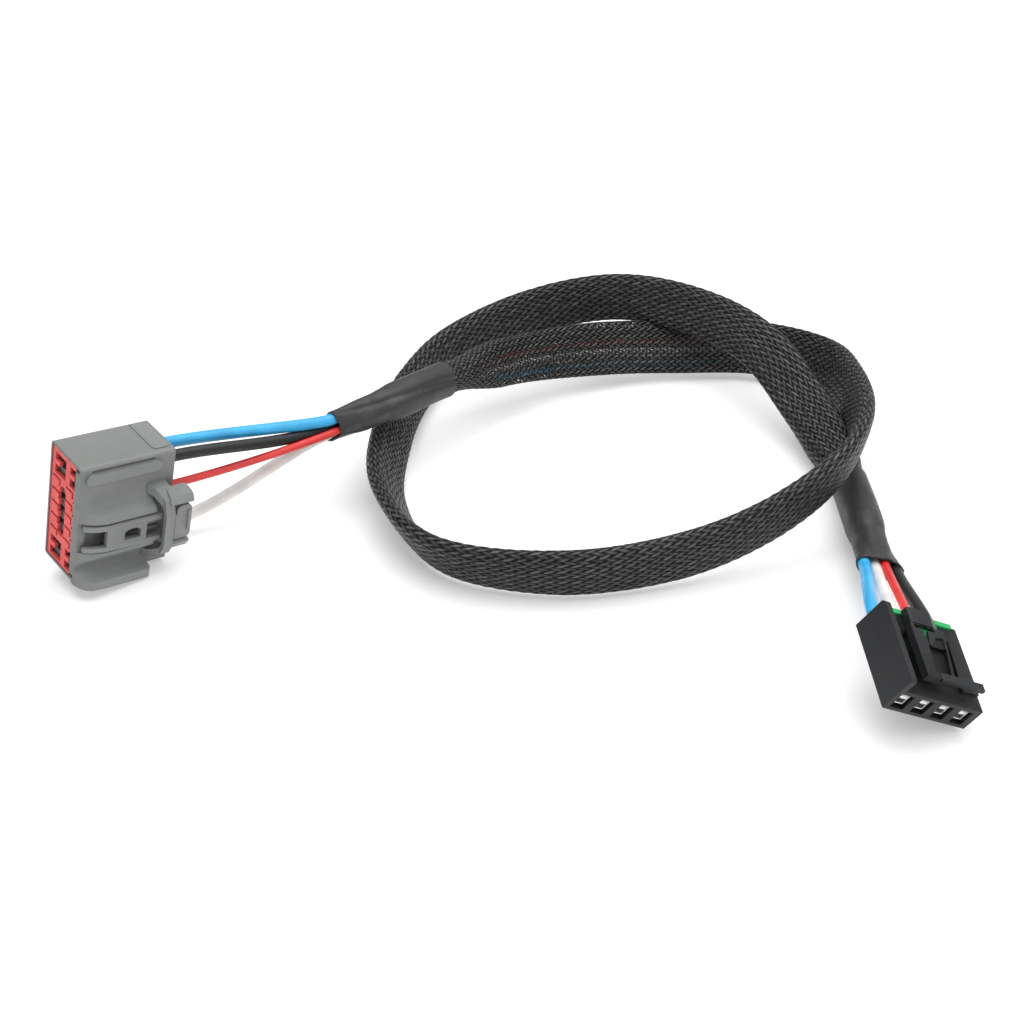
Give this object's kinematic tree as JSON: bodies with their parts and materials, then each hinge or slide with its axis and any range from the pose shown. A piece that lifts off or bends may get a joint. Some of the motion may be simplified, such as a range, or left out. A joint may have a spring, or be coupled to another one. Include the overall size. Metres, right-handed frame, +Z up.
{
  "type": "trailer brake controller harness",
  "caption": "Adapter harness for a trailer brake controller: grey vehicle plug and black controller plug joined by coloured wires in a braided sleeve, laid in a loop.",
  "frame": {"origin": "middle of the footprint of the harness as it lies in its loop, on the floor plane", "axes": "+X from the vehicle plug's side to the controller plug's side, +Y towards the far bend of the loop, +Z up"},
  "size_m": [0.2398, 0.2056, 0.0417],
  "materials": {
    "grey_plastic": "fine moulded texture",
    "red_plastic": "satin moulded",
    "black_plastic": "satin moulded",
    "green_plastic": "satin moulded",
    "tinned_metal": "bright tin plating",
    "blue_insulation": "satin extruded",
    "black_insulation": "satin extruded",
    "white_insulation": "satin extruded",
    "red_insulation": "satin extruded",
    "copper": "bare copper",
    "braid": "woven monofilament",
    "shrink_tube": "satin polyolefin"
  },
  "bodies": {
    "harness": {"vehicle_plug_housing": "grey_plastic", "controller_plug_housing": "black_plastic", "braided_sleeve": "braid", "heat_shrink_vehicle_end": "shrink_tube", "heat_shrink_controller_end": "shrink_tube", "vehicle_terminal_blue": "tinned_metal", "vehicle_terminal_black": "tinned_metal", "vehicle_terminal_white": "tinned_metal", "vehicle_terminal_red": "tinned_metal", "controller_terminal_blue": "tinned_metal", "controller_terminal_black": "tinned_metal", "controller_terminal_white": "tinned_metal", "controller_terminal_red": "tinned_metal", "blue_wire_insulation": "blue_insulation", "black_wire_insulation": "black_insulation", "white_wire_insulation": "white_insulation", "red_wire_insulation": "red_insulation", "blue_wire_conductor": "copper", "black_wire_conductor": "copper", "white_wire_conductor": "copper", "red_wire_conductor": "copper"},
    "vehicle_latch": {"vehicle_plug_latch": "grey_plastic"},
    "vehicle_lock": {"vehicle_plug_terminal_lock": "red_plastic"},
    "controller_latch": {"controller_plug_latch": "black_plastic"},
    "controller_lock": {"controller_plug_terminal_lock": "green_plastic"}
  },
  "joints": [
    {"name": "vehicle_latch_press", "type": "hinge", "parent": "harness", "child": "vehicle_latch", "pos_m": [-0.10509, -0.03959, 0.01875], "axis": [0.1966, 0.0012, 0.9805], "range_deg": [0, 4]},
    {"name": "vehicle_lock_slide", "type": "slide", "parent": "harness", "child": "vehicle_lock", "axis": [-0.7505, -0.6433, 0.1513], "range_m": [0, 0.0025]},
    {"name": "controller_latch_press", "type": "hinge", "parent": "harness", "child": "controller_latch", "pos_m": [0.10623, -0.082, 0.02125], "axis": [0.8633, 0.2297, -0.4493], "range_deg": [0, 4.5]},
    {"name": "controller_lock_slide", "type": "slide", "parent": "harness", "child": "controller_lock", "axis": [-0.1181, 0.9576, 0.2627], "range_m": [0, 0.0025]}
  ]
}
